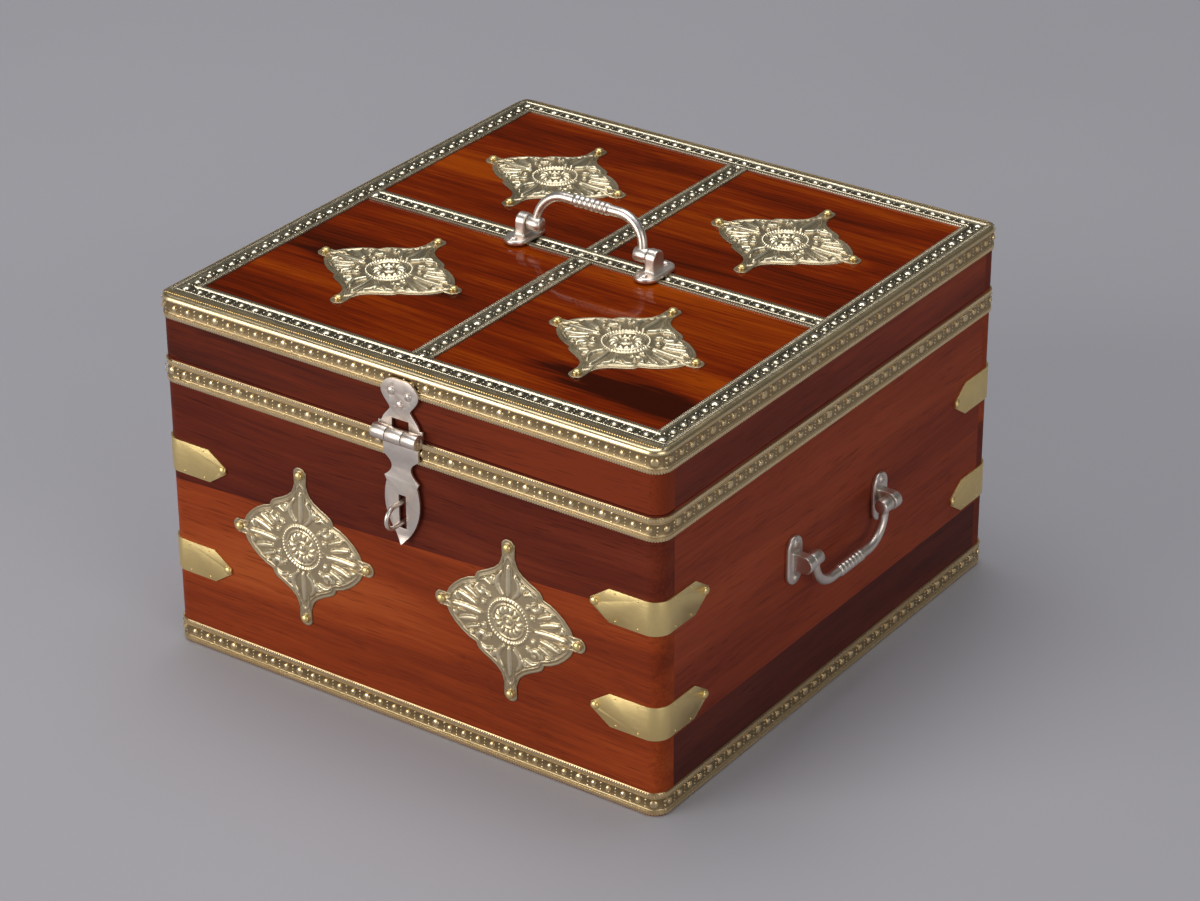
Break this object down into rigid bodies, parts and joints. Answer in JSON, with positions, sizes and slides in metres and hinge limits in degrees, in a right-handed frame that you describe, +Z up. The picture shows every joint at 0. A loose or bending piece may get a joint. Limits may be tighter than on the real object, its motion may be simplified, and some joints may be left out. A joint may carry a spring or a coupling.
{
  "type": "storage box",
  "caption": "Square hardwood storage box with embossed brass strips and plaques, a hinged lid, a front hasp and drop handles.",
  "frame": {"origin": "on the floor under the middle of the case, on the underside of the bottom panel", "axes": "+X to the right seen from the front, +Y from the hasp at the front to the hinges at the back, +Z up"},
  "size_m": [0.3322, 0.3352, 0.2302],
  "materials": {
    "red_wood": "lacquered",
    "orange_wood": "lacquered",
    "dark_wood": "lacquered",
    "pale_wood": "bare",
    "embossed_brass": "embossed, aged",
    "plain_brass": "satin",
    "bright_metal": "nickel plate"
  },
  "bodies": {
    "case": {"back_left_lower_strap": "plain_brass", "back_left_upper_strap": "plain_brass", "back_lower_plank": "red_wood", "back_right_lower_strap": "plain_brass", "back_right_upper_strap": "plain_brass", "back_upper_plank": "orange_wood", "base_band": "embossed_brass", "bottom_panel": "pale_wood", "case_screws": "bright_metal", "front_left_lower_strap": "plain_brass", "front_left_plaque": "embossed_brass", "front_left_upper_strap": "plain_brass", "front_lower_plank": "orange_wood", "front_plaque_nails": "plain_brass", "front_right_lower_strap": "plain_brass", "front_right_plaque": "embossed_brass", "front_right_upper_strap": "plain_brass", "front_upper_plank": "red_wood", "hasp_staple": "bright_metal", "hinge_pins": "plain_brass", "left_handle_posts": "bright_metal", "left_hinge_case_leaf": "plain_brass", "left_lower_plank": "orange_wood", "left_upper_plank": "red_wood", "right_handle_posts": "bright_metal", "right_hinge_case_leaf": "plain_brass", "right_lower_plank": "dark_wood", "right_upper_plank": "orange_wood", "rim_band": "embossed_brass", "strap_nails": "plain_brass"},
    "lid": {"lid_back_left_plaque": "embossed_brass", "lid_back_rail": "red_wood", "lid_back_right_plaque": "embossed_brass", "lid_border_back": "embossed_brass", "lid_border_front": "embossed_brass", "lid_border_left": "embossed_brass", "lid_border_right": "embossed_brass", "lid_cross_strip_long": "embossed_brass", "lid_cross_strip_short": "embossed_brass", "lid_front_left_plaque": "embossed_brass", "lid_front_rail": "red_wood", "lid_front_right_plaque": "embossed_brass", "lid_left_rail": "dark_wood", "lid_panel": "red_wood", "lid_plaque_nails": "plain_brass", "lid_right_rail": "dark_wood", "lid_screws": "bright_metal", "lid_side_band": "embossed_brass", "hasp_upper_leaf": "bright_metal", "hasp_pin": "bright_metal", "hasp_screws": "bright_metal", "top_handle_posts": "bright_metal", "left_hinge_lid_leaf": "plain_brass", "right_hinge_lid_leaf": "plain_brass"},
    "hasp_blade": {"hasp_blade": "bright_metal"},
    "top_bail": {"top_handle_bail": "bright_metal"},
    "right_bail": {"right_handle_bail": "bright_metal"},
    "left_bail": {"left_handle_bail": "bright_metal"}
  },
  "joints": [
    {"name": "lid_hinge", "type": "hinge", "parent": "case", "child": "lid", "pos_m": [0, 0.1595, 0.16575], "axis": [-1, 0, 0], "range_deg": [0, 105]},
    {"name": "hasp_hinge", "type": "hinge", "parent": "lid", "child": "hasp_blade", "pos_m": [0.0022, -0.1614, 0.16685], "axis": [-1, 0, 0], "range_deg": [0, 175]},
    {"name": "top_bail_hinge", "type": "hinge", "parent": "lid", "child": "top_bail", "pos_m": [0, 0.0025, 0.2092], "axis": [-1, 0, 0], "range_deg": [-120, 96]},
    {"name": "right_bail_hinge", "type": "hinge", "parent": "case", "child": "right_bail", "pos_m": [0.1615, 0, 0.091], "axis": [0, -1, 0], "range_deg": [-15, 165]},
    {"name": "left_bail_hinge", "type": "hinge", "parent": "case", "child": "left_bail", "pos_m": [-0.1615, 0, 0.091], "axis": [0, 1, 0], "range_deg": [-15, 165]}
  ]
}
